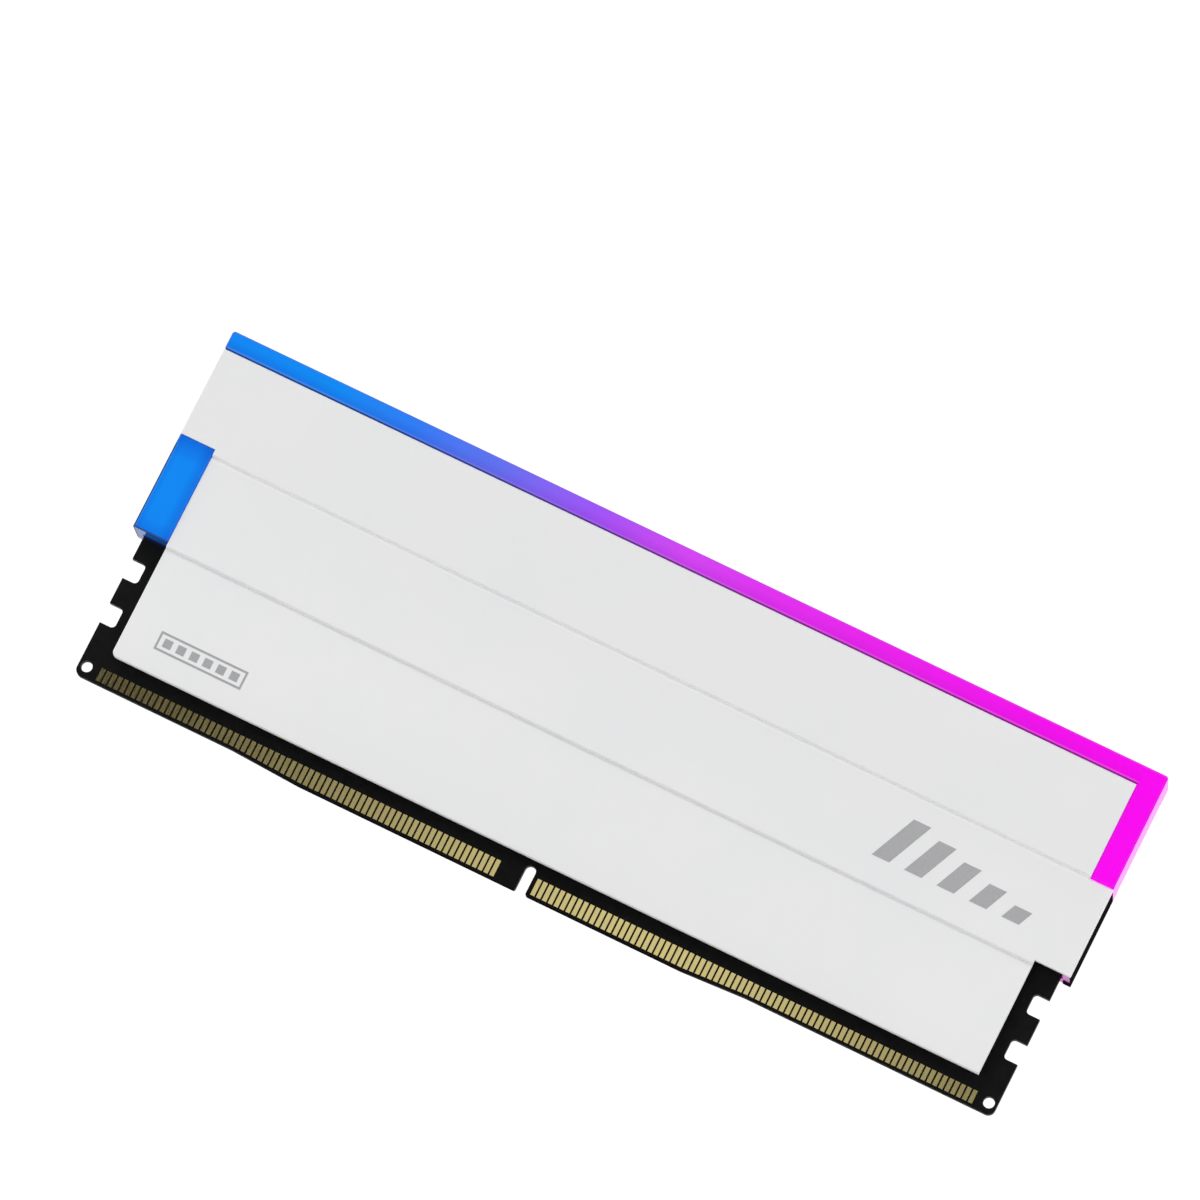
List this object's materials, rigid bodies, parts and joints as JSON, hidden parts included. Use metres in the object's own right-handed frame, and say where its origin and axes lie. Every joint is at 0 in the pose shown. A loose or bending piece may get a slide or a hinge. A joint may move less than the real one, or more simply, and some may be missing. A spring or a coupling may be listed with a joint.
{
  "type": "ram module",
  "caption": "Tall desktop memory module with stepped white heat spreaders, a lit top bar and end legs, and gold edge contacts.",
  "frame": {"origin": "middle of the contact edge at the lowest edge of the board, on the board's mid plane and half way along the module", "axes": "+X along the module, to the right as seen from the front; -Y is the front, with the printed marks; +Z from the contact edge up to the light bar"},
  "size_m": [0.136, 0.008, 0.05],
  "materials": {
    "board_black": "black solder mask over glass-epoxy laminate, semi-gloss",
    "contact_gold": "hard gold plating, polished",
    "solder": "bright tin solder",
    "chip_black": "black moulded epoxy, matt",
    "inductor_grey": "pressed iron powder, dark grey",
    "ceramic_tan": "fired ceramic, brown",
    "led_white": "white lamp housing",
    "lit_diffuser": "translucent diffuser lit from inside, blue at the left end through violet to magenta at the right end",
    "white_paint": "white powder coat on pressed aluminium, satin",
    "thermal_pad": "soft grey silicone pad",
    "adhesive": "black foam adhesive tape",
    "shield_black": "black plastic film, satin",
    "grey_ink": "thin grey screen print",
    "label_silver": "blank satin silver sticker"
  },
  "bodies": {
    "root": {"bulk_capacitors": "ceramic_tan", "ceramic_capacitors_front": "ceramic_tan", "ceramic_capacitors_rear": "ceramic_tan", "contacts_front_left": "contact_gold", "contacts_front_right": "contact_gold", "contacts_rear_left": "contact_gold", "contacts_rear_right": "contact_gold", "dram_chip_1": "chip_black", "dram_chip_2": "chip_black", "dram_chip_3": "chip_black", "dram_chip_4": "chip_black", "dram_chip_5": "chip_black", "dram_chip_6": "chip_black", "dram_chip_7": "chip_black", "dram_chip_8": "chip_black", "dram_solder_balls": "solder", "front_adhesive_strip": "adhesive", "front_heat_spreader": "white_paint", "front_print_large": "grey_ink", "front_print_small": "grey_ink", "front_thermal_pad_left": "thermal_pad", "front_thermal_pad_right": "thermal_pad", "led_board": "board_black", "led_board_pins": "solder", "light_guide": "lit_diffuser", "light_shield_left": "shield_black", "light_shield_right": "shield_black", "pcb": "board_black", "power_controller": "chip_black", "power_inductor_1": "inductor_grey", "power_inductor_2": "inductor_grey", "power_inductor_3": "inductor_grey", "power_thermal_pad": "thermal_pad", "rear_adhesive_strip": "adhesive", "rear_heat_spreader": "white_paint", "rear_label": "label_silver", "rear_print_large": "grey_ink", "rear_thermal_pad_left": "thermal_pad", "rear_thermal_pad_right": "thermal_pad", "resistor_arrays": "chip_black", "rgb_controller": "chip_black", "rgb_led_1": "led_white", "rgb_led_10": "led_white", "rgb_led_2": "led_white", "rgb_led_3": "led_white", "rgb_led_4": "led_white", "rgb_led_5": "led_white", "rgb_led_6": "led_white", "rgb_led_7": "led_white", "rgb_led_8": "led_white", "rgb_led_9": "led_white", "spd_hub": "chip_black"}
  },
  "joints": []
}
